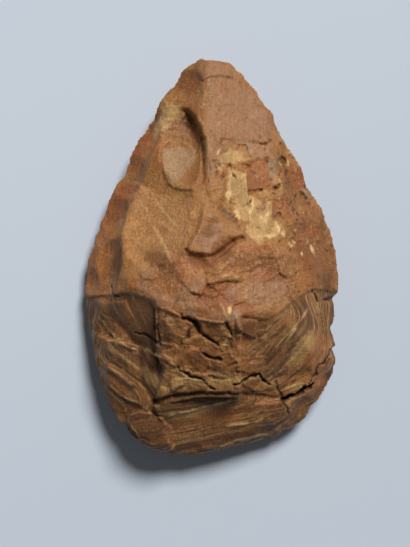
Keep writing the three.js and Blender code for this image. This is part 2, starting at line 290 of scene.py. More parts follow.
# Thin pale lines that stand a little proud: veins on the face, and the lips of layers on the butt.
VEINS = [
    [(0, -7.6), (5, -6.8), (10.5, -7.4)],
    [(3, -16), (4.6, -19.6), (5.6, -22)],
    [(13, 7.4), (16.4, 7), (20, 7.6)],
    [(-23.4, 15.4), (-19, 8), (-15.4, 1), (-14, -3)],
    [(-20, 20), (-15.6, 14.6), (-12, 10.4)],
    [(-26, 21), (-22, 15.4)],
    [(-36.8, -26), (-31, -30.4), (-28, -32.4), (-25.4, -33)],
    [(-24, -32.4), (-20, -34.4), (-17, -36), (-14, -37.4), (-11.5, -39)],
    [(-40.5, -34), (-36, -39), (-31, -43), (-26.6, -46.2)],
    [(-37.5, -45), (-31, -49.4), (-26, -52), (-22, -55), (-17, -56.4)],
    [(-30, -56), (-28.2, -60), (-25, -64)],
    [(-18, -57.2), (-10, -55.2), (0, -52.6), (8, -50.2)],
    [(4, -60), (12, -58.8), (22, -57)],
    [(-4, -67.8), (4, -66.5), (12, -64.2), (20, -62.6), (26, -60.4)],
    [(25.6, -46.8), (34, -44.6)],
    [(-13, -43.4), (-8, -43), (-5, -43.6)],
    [(-3, -41.2), (4, -41.4), (10, -42)],
    [(24.6, -32.6), (29.6, -25.6), (34.6, -17.6)],
    [(36, -12), (37.4, -16), (38, -19.6)],
]

# Chips: angular patches with their own level. (lift, rise per millimetre along X and Y, outline)
CHIPS = [
    (0.4, (0.12, 0.14), [(-18, -17.4), (-15, -17.7), (-10.9, -20.6), (-8, -25.9), (-10.3, -31.8),
        (-17.4, -30)]),
    (0.8, (0.03, 0.14), [(-5.6, -21.6), (4.4, -23), (4, -26), (1.6, -30.4), (-1.4, -28.4)]),
    (-0.5, (0, 0), [(2, -30), (5, -27.6), (7.3, -29), (7.3, -33), (3, -34)]),
    (0.7, (-0.08, 0.08), [(8.4, -21.6), (16, -22.2), (16.6, -28), (9, -28.6)]),
    (0.8, (0.05, 0.12), [(-12, -37.5), (-10, -34.4), (-7, -32.4), (-3.5, -32.8), (-0.4, -36.4),
        (0, -38.5), (-3, -41), (-9.5, -39.6)]),
    (-0.3, (0.05, 0.15), [(-16.8, -30.6), (-11.5, -31.8), (-10.9, -34.7), (-13.3, -36.5),
        (-17.4, -34.2)]),
    (0.8, (0, 0.14), [(11, -43.6), (16.6, -42), (18, -44), (21.4, -44.6), (21, -47.4), (16, -47.8),
        (12, -45.6)]),
    (0.3, (0, 0.08), [(8.2, -38), (18, -37), (18.4, -40.8), (12, -42), (4, -41.4)]),
    (0.3, (0.03, 0.06), [(-40, -16), (-30, -15.6), (-27, -22), (-31, -25), (-38, -20)]),
]

# Pits: (x, y, radius, depth).
PITS = [
    (25.1, 33.6, 1.7, 2.6), (26, 31.6, 0.5, 0.9), (22.4, 24, 1.1, 1.6), (29.5, 16.3, 1, 1.6),
    (19.4, 39.5, 0.6, 0.9), (20.8, 40.4, 0.6, 0.9), (24, 38.7, 0.5, 0.8), (33.4, 20.5, 0.8, 0.9),
    (34, 24, 0.5, 0.7), (28.2, 6, 0.7, 0.9), (-8.6, 2.2, 0.9, 1), (0.8, 33.6, 0.6, 0.6),
    (6, 63.2, 0.6, 0.7),
]

# More pits, scattered over the rough right side.
PIT_FIELD = {"count": 110, "radius": (0.3, 0.6), "depth": (0.25, 0.8)}

# Nicks in the margin, and one bulge, whose depth is below 0: (x, y, radius, depth).
NICKS = [
    (25.6, 39.6, 3.2, -1.5), (44.8, -15.4, 1.5, 2), (43.6, -25.8, 1.8, 1.4), (43.8, -33.4, 1.3, 1.8),
    (-20.2, 48.4, 1.8, 1.2), (-21.4, 44.4, 1.2, 1), (9, 65.6, 1.3, 0.8), (-29, 33, 1.2, 0.6),
    (-38, 15, 1.4, 0.5), (-42.6, 4.6, 1.4, 0.7), (33.6, 28, 1.4, 0.7), (40.4, 12, 1.4, 0.6),
    (44, -4, 1.6, 0.6), (26, -62, 1.6, 0.8), (36, -54, 1.8, 0.9), (-30.4, -60, 1.6, 0.8),
    (-40.4, -41, 1.6, 0.9),
]

# The edge between the upper face and the broken butt, left to right.
RIDGE = [
    (-48, -14.8), (-43.4, -14.2), (-36, -13.4), (-30, -13.2), (-25, -14), (-21.4, -15.4), (-18.4, -17.6),
    (-10.6, -21), (-3, -22.4), (5.6, -23.6), (8.6, -21.8), (10.4, -21), (17, -21.8), (20, -22), (24, -20),
    (28, -16.4), (33, -13), (36.4, -11.2), (42, -12), (48, -12),
]

# The undercut ledge across the butt. Then the outlines of the zones: the deep scar and its upright wall,
# the rough pale heart, the broken shelf in the middle of the butt, the plainer block at its left, the
# hackly hump above the ridge, and the broad smooth scar at the left.
LEDGE = [
    (-22, -51.6), (-19, -50.2), (-12, -48.6), (-4, -47.3), (5, -47.6), (12, -48), (18, -48.8),
    (25, -49.6),
]
NOTCH = [
    (-17, 53.4), (-12, 54.4), (-8.6, 53.8), (-5.2, 50.6), (-2.4, 44), (-1.2, 38), (-1, 31), (-2, 25),
    (-6, 23.6), (-11.5, 24.6), (-15.5, 27), (-17.5, 32.5), (-18.2, 41),
]
NOTCH_WALL = [
    (-14, 54), (-8, 52.6), (-4.4, 49.6), (-2.4, 46), (-1, 41), (-0.7, 36), (-0.4, 29), (-1.6, 20),
]
HEART = [
    (2, 44), (12, 41.5), (20, 41.6), (30, 33), (36, 22), (40, 8), (34, 2), (26, 6), (12, 7.5), (4, 12),
    (-1, 20),
]
SHELF = [
    (-18, -17), (-11, -21), (8, -22.4), (19, -21.6), (20, -46), (24.5, -49), (5, -48), (-12, -50),
    (-19.7, -51.6), (-17, -38),
]
BLOCK = [(-45, -15), (-25, -15), (-19, -18), (-18, -31), (-25, -29.5), (-31, -26), (-38, -19)]
HUMP = [
    (-26, -3), (-10, 0), (3, 0), (12, 6), (26, 2), (34, -4), (30, -15), (19, -21), (8, -22), (-10, -20),
    (-22, -15),
]
BROAD = [(-28, 30), (-18, 24), (-6, 22), (-3.4, 15), (-9, 2), (-12, -8), (-24, -10), (-31, 0), (-34, 12)]


# The deep scar by the tip.
NOTCH_DEPTH = 4.6
NOTCH_WALL_WIDTH = 2.1
NOTCH_FLOOR = 5.0  # the floor climbs back over about this distance from the wall
NOTCH_CREST = 0.5
RIPPLE_CENTRE = (-13, 33)
RIPPLE_HEIGHT = 0.12
RIPPLE_PACE = 2.6  # radians per millimetre

CRACK_LIP = 0.28  # how high one side of a crack stands, as a share of its width
CRACK_LIP_FADE = 1.3
VEIN_WIDTH = 0.42
VEIN_HEIGHT = 0.16
RIDGE_LIP = 0.35
RIDGE_DROP = 0.9
LEDGE_REACH = 2.0
UNDERCUT = 2.4

# Fracture faces on the rough heart and on the hump; their tones follow the same faces.
ROUGH_FACES = (5.2, 500)
HUMP_FACES = (8, 531)

# Fracture faces in each zone: (zone, (size, seed), height).
FRACTURES = [
    ("rough", ROUGH_FACES, 0.8), ("rough", (2.3, 505), 0.3),
    ("shelf", (6.5, 520), 0.8), ("shelf", (2.6, 525), 0.35),
    ("hump", HUMP_FACES, 0.7), ("broad", (15, 533), 0.35),
]

# Relief that runs one way: (zone, height, heading, how many times as long, size, octaves, seed).
STREAKS = [
    ("rough", 0.25, 70, 2.2, 2.4, 2, 70), ("broad", 0.05, -52, 5, 1.6, 2, 95),
    ("hump", 0.3, 38, 1.8, 5.5, 3, 80), ("hump", 0.42, 35, 2.6, 1.7, 2, 87),
]
HUMP_GRAIN = 0.07
PLAIN_GRAIN = 0.2  # outside the hump and the broad left face
SMALL_FACETS = 0.15  # all over the face but the rough heart

# Layers: (height, thickness, seed). They stand out in steps on the butt, and faintly on the face.
TERRACES = [(0.34, 1.5, 210), (0.2, 0.7, 211)]
FAINT_LAYERS = (0.07, 0.5, 213)

# Slow swells all over the stone: (height, size, seed).
SLOW_SWELLS = [(0.35, 14, 90), (0.12, 2.6, 92)]
UNDER_SLABS = 0.4


def tapered(share, run=0.1):
    """1 along a line, and fading to 0 over a run at both its ends."""
    return smooth(0, run, share) * smooth(0, run, 1 - share)


def notch_relief(plan):
    """The deep scar by the tip: an upright wall along its upper right, and ripples on its floor."""
    reach = plan.inside(NOTCH)
    away, side, share = plan.line(NOTCH_WALL)
    depth = NOTCH_DEPTH * smooth(0.05, 0.25, share) * (1 - 0.8 * smooth(0.5, 0.9, share))
    beyond = np.maximum(away - NOTCH_WALL_WIDTH, 0)
    wall = smooth(0, NOTCH_WALL_WIDTH, away) * np.exp(-beyond / NOTCH_FLOOR) * (side < 0)
    rings = np.sin(np.hypot(plan.x - RIPPLE_CENTRE[0], plan.y - RIPPLE_CENTRE[1]) * RIPPLE_PACE)
    ripple = RIPPLE_HEIGHT * rings * smooth(0.2, 3, reach) * smooth(36, 40, plan.y)
    crest = NOTCH_CREST * np.exp(-away / 1.2) * smooth(0.15, 0.35, share) * (1 - smooth(0.9, 1, share))
    return crest - depth * wall * smooth(-0.3, 1.6, reach) + ripple


def swells_relief(plan):
    return sum(height * plan.spot(*place) for *place, height in SWELLS)


def grooves_relief(plan):
    total = np.zeros(len(plan.x))
    for width, depth, line in GROOVES:
        away, _, share = plan.line(line)
        total -= depth * np.exp(-(away / width) ** 2) * tapered(share)
    return total


def steps_relief(plan):
    total = np.zeros(len(plan.x))
    for drop, fade, soft, line in STEPS:
        away, side, share = plan.line(line)
        over = away * side
        edge = smooth(-soft, soft, over)
        total -= drop * edge * np.exp(-np.maximum(over, 0) / fade) * tapered(share)
    return total


def jagged(line, rng, pace=1.5, sway=0.38):
    """The line with corners thrown sideways every pace or so."""
    places = [line[0]]
    for (ax, ay), (bx, by) in zip(line, line[1:]):
        count = max(1, round(math.hypot(bx - ax, by - ay) / pace))
        for k in range(1, count + 1):
            share = k / count
            throw = rng.uniform(-sway, sway, 2)
            places.append((ax + (bx - ax) * share + throw[0], ay + (by - ay) * share + throw[1]))
    return places


def crack_depths(plan):
    """(relief, darkness) of all the cracks and pits; the darkness is painted as shade."""
    rng = np.random.default_rng(SEED)
    relief = np.zeros(len(plan.x))
    lips = np.zeros(len(plan.x))
    dark = np.zeros(len(plan.x))
    uneven = np.clip(0.85 + 0.9 * noise(plan.flat, 2.6, 300) + 0.5 * noise(plan.flat, 1.1, 301), 0.25, 2)
    for widest, depth, line in CRACKS:
        away, side, share = plan.line(jagged(line, rng))
        belly = np.sin(np.pi * np.clip(share, 0.08, 0.92))  # 1 in the middle of the crack
        width = widest * uneven * (0.3 + 0.7 * belly)
        open_ = np.clip(1 - away / width, 0, 1) ** 0.7
        relief = np.minimum(relief, -depth * open_)
        lip = CRACK_LIP * widest * np.exp(-away / CRACK_LIP_FADE) * (side > 0)
        lips += lip * smooth(0, 0.1, share * (1 - share))
        dark = np.maximum(dark, np.exp(-(away / (0.95 * width)) ** 2))
    for x, y, radius, depth in [*PITS, *pit_field()]:
        away = np.hypot(plan.x - x, plan.y - y)
        relief = np.minimum(relief, -depth * np.clip(1 - (away / radius) ** 2, 0, 1))
        dark = np.maximum(dark, np.exp(-(away / radius) ** 2) * min(1, depth))
    return relief + lips, dark


def pit_field():
    """Small pits at seeded places in a leaning band along the right side."""
    rng = np.random.default_rng(SEED)
    pits = []
    while len(pits) < PIT_FIELD["count"]:
        x, y = rng.uniform(12, 44), rng.uniform(-14, 42)
        if x < 24 - 0.25 * y or x > 47 - 0.5 * max(y, 0):
            continue
        pits.append((x, y, rng.uniform(*PIT_FIELD["radius"]), rng.uniform(*PIT_FIELD["depth"])))
    return pits


def vein_mask(plan):
    """1 along the middle of each vein, with gaps where a noise is low."""
    total = np.zeros(len(plan.x))
    for line in VEINS:
        away, _, share = plan.line(line)
        total = np.maximum(total, np.exp(-(away / VEIN_WIDTH) ** 2) * tapered(share, 0.15))
    return total * smooth(-0.7, 0.3, noise(plan.flat, 2.4, 310))


def chips_relief(plan):
    total = np.zeros(len(plan.x))
    for lift, (rise_x, rise_y), outline in CHIPS:
        cx, cy = np.mean(outline, axis=0)
        level = lift + rise_x * (plan.x - cx) + rise_y * (plan.y - cy)
        total += level * smooth(-0.3, 0.35, plan.inside(outline))
    return total


def nearest_cells(points, size, seed):
    """(cell, gap): which scattered centre is nearest in plan to each point, and the way from it."""
    rng = np.random.default_rng(SEED + seed)
    corners = np.arange(-CELL_REACH, CELL_REACH, size)
    side = len(corners)
    centres = np.array([(x, y) for x in corners for y in corners]) + rng.uniform(0, size, (side ** 2, 2))
    col = np.floor((points[:, 0] + CELL_REACH) / size).astype(int)
    row = np.floor((points[:, 1] + CELL_REACH) / size).astype(int)
    best = np.full(len(points), 1e9)
    cell = np.zeros(len(points), int)
    for right in (-1, 0, 1):
        for up in (-1, 0, 1):
            k = np.clip(col + right, 0, side - 1) * side + np.clip(row + up, 0, side - 1)
            away = np.hypot(*(points[:, :2] - centres[k]).T)
            near = away < best
            best = np.where(near, away, best)
            cell = np.where(near, k, cell)
    return cell, points[:, :2] - centres[cell]


def cell_values(cell, seed, columns=1):
    """A random row from -1 to 1 for each cell."""
    table = np.random.default_rng(SEED + seed).uniform(-1, 1, (int(cell.max()) + 1, columns))
    return table[cell]


def broken_relief(points, size, amount, seed):
    """Small flat fracture faces: each place follows the tilted plane of its nearest centre."""
    cell, gap = nearest_cells(points, size, seed)
    plane = cell_values(cell, seed + 1, 3) * amount
    return 0.5 * plane[:, 0] + (gap * plane[:, 1:]).sum(axis=1) / size


def layer_depth(points, upper):
    """How far up through the rock's layers a point lies.

    In a fold, which only the upper side shows, the depth is a straight slope across the fold's heading.
    Its level and rise are fitted to the depths there, so that it joins the layers around it.
    """
    bend = sum(tilt * FLANK_SPAN * np.log1p(np.exp(side * (points[:, 0] - x) / FLANK_SPAN))
               for x, tilt, side in FLANKS)
    depth = points @ LAYER_NORMAL + bend
    for fold in FOLDS:
        x, y = points[:, 0] - fold["at"][0], points[:, 1] - fold["at"][1]
        heading = math.radians(fold["heading"])
        across = y * math.cos(heading) - x * math.sin(heading)
        folded = (1 - smooth(*FOLD_FADE, np.hypot(x, y) / fold["radius"])) * upper
        share = folded / folded.sum()
        middle, level = (across * share).sum(), (depth * share).sum()
        off = across - middle
        rise = (off * (depth - level) * share).sum() / (off ** 2 * share).sum()
        depth = depth * (1 - folded) + (level + rise * off) * folded
    return depth + 0.4 * noise(points, 22, 200) + 0.1 * noise(points, 6, 201)


def ledges(depth, thickness, seed):
    """How far each layer stands out, from -1 to 1, with a short slope from one layer to the next."""
    table = np.random.default_rng(SEED + seed).uniform(-1, 1, LAYER_TABLE)
    layer = np.floor(depth / thickness).astype(int)
    share = smooth(0.3, 0.7, depth / thickness - layer)
    return (1 - share) * table[layer % LAYER_TABLE] + share * table[(layer + 1) % LAYER_TABLE]


def below_ridge(plan):
    """Distance in plan below the ridge over the butt; negative on the upper face."""
    away, side, _ = plan.line(RIDGE)
    return -away * side


def ridge_relief(below):
    """Sharpens the ridge: the face swells towards it, and the ground drops at once on the butt's side."""
    lip = RIDGE_LIP * np.exp(-np.abs(below + 0.6) / 3.5)
    drop = RIDGE_DROP * smooth(-0.3, 0.7, below) * np.exp(-np.maximum(below, 0) / 4)
    return lip - drop


def under_ledge(plan):
    """1 in the hollow under the ledge that crosses the butt, fading to both ends; the hollow is carved, and
    also darkened with painted shade.
    """
    away, side, share = plan.line(LEDGE)
    ends = smooth(0, 0.05, share) * (0.35 + 0.65 * smooth(1, 0.35, share)) * smooth(0, 0.1, 1 - share)
    return np.exp(-(away / LEDGE_REACH) ** 2) * smooth(-0.4, 0.5, -away * side) * ends


def nicked(points):
    """Shifts of the vertices by the nicks in the margin, inwards in plan."""
    shift = np.zeros((len(points), 3))
    for x, y, radius, depth in NICKS:
        away = np.hypot(points[:, 0] - x, points[:, 1] - y)
        inward = -np.array([x, y, 0]) / math.hypot(x, y)
        shift += depth * np.exp(-(away / radius) ** 2)[:, None] * inward
    return shift


# ---- mesh

def link(obj):
    bpy.context.scene.collection.objects.link(obj)
    return obj


def remeshed(node):
    """The CAD stone with even quads: coarse below, four times finer on the upper side."""
    obj = link(bpy.data.objects.new("rough_copy", node.data.copy()))
    remesh = obj.modifiers.new("even", "REMESH")
    remesh.mode = "VOXEL"
    remesh.voxel_size = COARSE_VOXEL * MM
    graph = bpy.context.evaluated_depsgraph_get()
    mesh = bpy.data.meshes.new_from_object(obj.evaluated_get(graph))
    bpy.data.objects.remove(obj)
    shape = bmesh.new()
    shape.from_mesh(mesh)
    shape.normal_update()
    edges = {e for f in shape.faces if f.normal.z > UPWARD for e in f.edges}
    bmesh.ops.subdivide_edges(shape, edges=list(edges), cuts=1, use_grid_fill=True)
    shape.to_mesh(mesh)
    shape.free()
    return mesh


def read(items, name, columns, kind=np.float32):
    flat = np.empty(len(items) * columns, kind)
    items.foreach_get(name, flat)
    return flat.reshape(-1, columns)


def places_of(mesh):
    return read(mesh.vertices, "co", 3).astype(float) / MM


def normals_of(mesh):
    return read(mesh.vertex_normals, "vector", 3).astype(float)


def edges_of(mesh):
    return read(mesh.edges, "vertices", 2, np.int32)


def put_places(mesh, points):
    mesh.vertices.foreach_set("co", (points * MM).astype(np.float32).ravel())
    mesh.update()


def neighbour_mean(values, edges):
    """The mean of each vertex's neighbours."""
    count = len(values)
    degree = np.bincount(edges.ravel(), minlength=count)
    total = np.column_stack([
        np.bincount(edges[:, 0], column[edges[:, 1]], count)
        + np.bincount(edges[:, 1], column[edges[:, 0]], count)
        for column in values.reshape(count, -1).T])
    return (total / np.maximum(degree, 1)[:, None]).reshape(values.shape)


def settle_on(mesh, node):
    """Moves the vertices onto the CAD surface and eases the facets."""
    corners = [vertex.co for vertex in node.data.vertices]
    tree = BVHTree.FromPolygons(corners, [face.vertices for face in node.data.polygons])
    points = places_of(mesh)
    for i, point in enumerate(points):
        place, _, _, away = tree.find_nearest(Vector(point * MM))
        if place is not None and away < PROJECT_REACH * MM:
            points[i] = np.array(place) / MM
    edges = edges_of(mesh)
    for _ in range(SMOOTH_ROUNDS):
        points += SMOOTH_SHARE * (neighbour_mean(points, edges) - points)
    put_places(mesh, points)


def fields_of(plan, normals):
    """What both the relief and the colours read at each vertex: zones and drawn lines.

    All go from 0 to 1, but below, grooves and cracks, which are millimetres.
    """
    below = below_ridge(plan)
    slope = np.hypot(normals[:, 0], normals[:, 1])
    cracks, dark = crack_depths(plan)
    return {
        "upper": smooth(-0.12, 0.25, normals[:, 2]),
        "below": below,
        "rough": smooth(-1.5, 2.5, plan.inside(HEART)),
        "shelf": smooth(-0.5, 1.5, plan.inside(SHELF)),
        "hump": smooth(-2, 3, plan.inside(HUMP)),
        "broad": smooth(-1, 3, plan.inside(BROAD)),
        "layered": smooth(-0.3, 1.5, below) * smooth(0.02, 0.35, slope),
        "hollowed": under_ledge(plan),
        "grooves": grooves_relief(plan),
        "veins": vein_mask(plan),
        "cracks": cracks,
        "dark": dark,
    }


def upright_relief(plan, at):
    """What is added straight up on the upper side: drawn features, fracture faces and streaks."""
    rise = notch_relief(plan) + swells_relief(plan) + steps_relief(plan) + chips_relief(plan)
    rise += ridge_relief(at["below"]) + at["grooves"]
    rise += VEIN_HEIGHT * at["veins"] - UNDERCUT * at["hollowed"]
    for zone, (size, seed), height in FRACTURES:
        rise += at[zone] * broken_relief(plan.warped, size, height, seed)
    for zone, height, heading, ratio, size, octaves, seed in STREAKS:
        rise += at[zone] * height * fractal(stretched(plan.flat, heading, ratio), size, octaves, seed)
    rise += at["hump"] * HUMP_GRAIN * noise(plan.flat, 0.9, 89)
    rise += (1 - at["broad"]) * (1 - at["hump"]) * PLAIN_GRAIN * fractal(plan.flat, 4.5, 3, 85)
    return at["upper"] * (rise + at["cracks"])


def layers_relief(points, at):
    """How far the rock's layers stand out: in steps on the butt, and faintly on the smooth face."""
    depth = layer_depth(points, at["upper"])
    steps = sum(height * ledges(depth, thickness, seed) for height, thickness, seed in TERRACES)
    steps *= np.clip(0.6 + 0.9 * noise(points, 9, 212), 0.1, 1.4) * at["layered"] * (1 - 0.75 * at["shelf"])
    height, thickness, seed = FAINT_LAYERS
    faint = height * ledges(depth, thickness, seed) * smooth(0.3, -0.3, at["below"])
    return steps + faint * at["upper"] * (1 - at["rough"])


def small_facets(plan, at):
    """Small tilted faces on the upper face, outside its rough heart."""
    facets = SMALL_FACETS * broken_relief(plan.warped, 4.2, 1.0, 545)
    return facets * at["upper"] * (1 - at["rough"]) * smooth(0.5, -0.5, at["below"])


def swelling(points, at):
    """Slow swells, stronger on the hidden side, and slabs that only the hidden side has."""
    under = 1 - at["upper"]
    swell = sum(height * fractal(points, size, 2, seed) for height, size, seed in SLOW_SWELLS)
    turned = points[:, [0, 2, 1]] + points[:, [1, 0, 2]]
    return (0.4 + 0.6 * under) * swell + UNDER_SLABS * under * broken_relief(turned, 11, 0.5, 540)


def sculpt(mesh):
    """Carves the relief and writes the colour masks that the material reads."""
    points, normals = places_of(mesh), normals_of(mesh)
    plan = Plan(points)
    at = fields_of(plan, normals)
    points[:, 2] += upright_relief(plan, at)
    layers = layers_relief(points, at)
    points[:, 2] += small_facets(plan, at)
    points += normals * (layers + swelling(points, at))[:, None] + nicked(points)
    points[:, 2] = np.maximum(points[:, 2], 0)
    put_places(mesh, points)

    edges = edges_of(mesh)
    hollow = ((neighbour_mean(points, edges) - points) * normals_of(mesh)).sum(axis=1)
    hollow = neighbour_mean(hollow, edges)
    masks = {**colour_masks(plan, at), **shade_wear_and_tone_masks(plan, at, hollow)}
    for name, values in masks.items():
        write_attribute(mesh, name, np.clip(values, 0, 1))
    write_attribute(mesh, "layer", layer_depth(points, at["upper"]) * MM)


def write_attribute(mesh, name, values):
    attribute = mesh.attributes.new(name, "FLOAT", "POINT")
    attribute.data.foreach_set("value", values.astype(np.float32))


# ---- colour masks

# Spots of colour: (x, y, radius, how many times as long, heading).
PINK_SPOTS = [
    (1, 4, 3.4, 1.4, 30), (-19, -10, 4.6, 1.8, 30), (-3, -19, 3, 2, -20), (7, 56, 8, 1.5, -60),
    (11, 46, 9, 1.2), (-14, -11, 7, 1.6), (20, -13, 5, 2, 10), (-11, 44, 4.4, 1.4, 50), (4, -20, 4, 2),
    (0.4, 34, 1.4, 5, 90), (0, 66, 3, 1.7), (16, 36.6, 2.6, 1.6), (-2, 6, 2.2, 1.8, 60),
    (7, -17, 2.4, 2, 90),
]
CREAM_HEART = [
    (6.4, 30), (12.4, 29), (13.2, 21.4), (19, 20.6), (20.6, 15), (19.6, 8.6), (14.6, 6.6), (12, 10),
    (8.4, 13.6), (6, 19),
]
# Cream spots of the stone; the one at (2.8, 37) on the ridge is a painted highlight.
CREAM_SPOTS = [
    (4.4, -30.4, 1.9, 1.5, 60), (11, -32, 1.6, 2, 20), (24, 10, 1, 3.4, -55), (30.4, 9, 0.9, 4, -60),
    (21, 7.4, 1, 3, 10), (35, 3, 0.8, 4, -70), (6, -19, 1.2, 2.4, 90), (2.8, 37, 1.1, 1.6, 70),
    (0.4, -38.6, 0.8, 1.4), (27, 5, 0.8, 3.4, -50), (31, 2, 0.9, 3, -60), (19.4, -45.6, 1, 1.8, -30),
    (40.6, -0.6, 0.9, 3, 80),
]
PALE_SPOTS = [
    (-11, 57, 1.6, 1.6, 50), (-14, -23, 1.6, 2, -60), (9, 26, 2.7, 1.6, 88), (6, 35, 2.6, 1.6, 20),
    (12.6, 24, 1.6, 2.6, 82), (18, 9, 4, 1.6), (6, -43.6, 2, 5, 3), (-12, -45, 2.4, 3, 10),
    (31, -46, 1.3, 3.6, 18), (-17, 46, 2.6, 2, 60), (28, 36, 1.4, 3, -60), (-6, -55, 1.5, 7, 12),
    (32, -33, 3, 2.4, 55), (-14, 52, 2.2, 1.6, -30), (-22, -42, 2.4, 2, -50),
]
RUST_SPOTS = [
    (3.6, 2, 1.3, 3, 42), (-1, -11.6, 2, 2.4, 50), (20, -6, 3, 2), (-6, -36, 3.4, 1.8),
    (12, -27, 4.4, 1.5), (-1, -26, 3, 1.5, -30), (10, -38, 4, 2), (34, 8, 3.4, 1.5),
    (-31, 22, 4, 3.6, 62), (-6, 27, 2.6, 2.2, 80), (34, -6, 5, 1.4, 90), (30, 29, 3.6, 2, 118),
    (37, -32, 3.5, 2, 50), (4, 2.6, 1.7, 2.6, 42), (1, -14, 4.6, 1.3, 50), (-6, 51.5, 2.6, 2, -40),
    (17, -45.6, 2.4, 1.6, -15), (38, -42, 3.6, 2.2, 55), (35, -50, 5, 2, 60), (6, -56, 4, 4, 11),
    (-35, -43.6, 2.6, 2, -45), (-25, 40, 2.6, 3, 62), (-3.4, -2.2, 3, 1.8, -15), (9, -17, 4, 2),
    (-9, 60, 3, 2, 40),
]
GREY_SPOTS = [
    (12.6, 39.8, 2, 1.5), (21.6, 30, 1.6, 3, 85), (6, 14.6, 1.3, 3.2, -38), (24.6, 42, 1.6, 2, -60),
    (34.4, 22, 2, 1.6, -50), (12, -25, 3.4, 1.4, -10), (-6, -37, 4, 1.3, -20), (14, -36, 3, 2, 10),
    (6.4, -13.6, 1.6, 1.4), (8, -20.4, 1.8, 1.4, 70),
]
DEEP_SPOTS = [
    (-6, 63, 2.4, 2, 50), (9, 62, 1.8, 1.8, -50), (-19, 49, 2, 2, 60), (33, 8, 6.5, 2.2, -66),
    (38, -4, 5, 1.8, 80), (29, 28, 4, 2.6, -62), (0.6, 11, 3.4, 1.5, 60), (-33, -3, 2.6, 2, 70),
    (2, -14, 5, 1.5, 35), (-4, -1.6, 3, 1.6, -20), (23, -4, 5, 1.8, -20), (3, 2, 3, 2, 40),
    (-8, 62, 4, 1.8, 50), (-17, -3, 4, 2, -40), (12, -1, 3, 3), (24, 17, 3, 1.3),
]
WARM_SPOTS = [
    (-40, 2, 5, 3, 75), (-31, 25, 5, 3.4, 62), (-23, 42, 4, 2.4, 62), (-14, -7, 6, 2, 40),
    (35, -48, 6, 2, 60), (12, 2, 6, 2, 20), (34, -24, 5, 2, 60),
]
# Dark brown spots; those along the ledge near y -50 and on the deep scar's wall near (-9, 48) are painted
# shade.
DARK_STONE_AND_SHADE_SPOTS = [
    (-15, -50.4, 1.5, 4, 8), (43, 16, 2, 4, 100), (28, 42, 1.6, 6, 118), (-20, 50, 2, 1.6, 60),
    (-21.6, -61.5, 5.6, 1.3, -40), (-21, -60, 4.6, 1.4, -40), (-31, -52.5, 4.6, 2, -40),
    (-10, -49.8, 1.8, 6, 5), (-22, -26, 4, 1.6, 80), (12, -49, 1.6, 6, -2), (36, -54, 4, 2, 45),
    (40.5, -10, 2.6, 2, 90), (39, 12, 2, 3, -70), (12, -62, 2.6, 5, 14), (12, -25, 3, 1.6, -10),
    (-38, -46, 2.2, 3, -50), (-9, 48.4, 1.4, 3, -52), (4.6, 1.6, 1, 3.4, 44), (-5, -1, 1.6, 2.6, -14),
]
PALE_PATCH = [
    (-16.6, 38), (-17.2, 34.6), (-16.2, 29.6), (-13.8, 25.8), (-12, 26.4), (-9.4, 28.6), (-8, 31.2),
    (-5.6, 33), (-4.8, 38), (-9, 39),
]
INSETS = [
    [(12.7, 33.6), (20.1, 34.5), (21.2, 24.4), (13.3, 21.6)],
    [(21.4, 19.8), (27.9, 19.6), (28.4, 13.4), (21.4, 13.6)],
]


def spots(plan, places):
    return sum(plan.spot(*place) for place in places)


def colour_masks(plan, at):
    """The masks of colour and zone that the material reads, before they are clipped to 0 to 1."""
    upper, rough = at["upper"], at["rough"]
    ragged = 1 + 0.9 * fractal(plan.flat, 7, 4, 400)
    streaks = 0.5 + 0.9 * fractal(stretched(plan.flat, 75, 3.2), 2.2, 3, 410)
    fibres = 0.6 + 1.0 * fractal(stretched(plan.flat, 72, 4), 1.8, 3, 415)
    strands = fractal(stretched(plan.flat, 80, 3.6), 1.4, 3, 417)
    frayed = 2.6 * fractal(stretched(plan.flat, 76, 2.6), 3.2, 4, 419)
    flecks = smooth(0.3, 0.55, fractal(stretched(plan.flat, -60, 3), 1.9, 3, 421))
    seamed = smooth(0.1, 0.5, 0.5 + 0.8 * fractal(plan.flat, 5, 3, 430))
    insets = sum(smooth(-0.35, 0.35, plan.inside(outline)) for outline in INSETS)
    in_insets = np.clip(insets, 0, 1)
    heart = smooth(-3, 3, plan.inside(CREAM_HEART) + frayed)
    block = smooth(-1, 1, plan.inside(BLOCK))
    cream = spots(plan, CREAM_SPOTS) * np.clip(fibres, 0, 1.5) + 0.8 * heart * smooth(-0.1, 0.4, strands)
    cream += 0.7 * rough * smooth(20, 27, plan.x) * flecks
    pale = spots(plan, PALE_SPOTS) * ragged + 0.3 * rough * smooth(0.2, 0.8, streaks) + 0.65 * heart
    dark_stone_and_painted_shade = spots(plan, DARK_STONE_AND_SHADE_SPOTS) * (0.7 + 0.3 * ragged)
    return {
        "pink": (spots(plan, PINK_SPOTS) * ragged + 0.15 * at["hump"]) * upper,
        "deep": spots(plan, DEEP_SPOTS) * ragged * upper,
        "warm": spots(plan, WARM_SPOTS) * ragged * upper,
        "cream": cream * upper * (1 - 0.8 * in_insets),
        "pale": pale * upper * (1 - in_insets),
        "patch": smooth(-0.4, 0.6, plan.inside(PALE_PATCH)) * upper,
        "rust": (spots(plan, RUST_SPOTS) * ragged + insets) * upper,
        "grey": spots(plan, GREY_SPOTS) * ragged * upper,
        # Dark stone spots, with painted shade under the ledge, in grooves and on the deep scar's wall.
        "dark_stone_and_painted_shade": np.maximum.reduce([dark_stone_and_painted_shade, at["hollowed"], -0.7 * at["grooves"]]) * upper,
        "layered": at["layered"] * (1 - 0.8 * at["shelf"] * seamed) * (1 - 0.75 * block),
        "butt": smooth(-0.5, 0.5, at["below"] + 0.6 * noise(plan.flat, 1.5, 420)),
        "hump": at["hump"] * upper,
        "broad": at["broad"] * upper,
        "vein": at["veins"] * upper,
    }


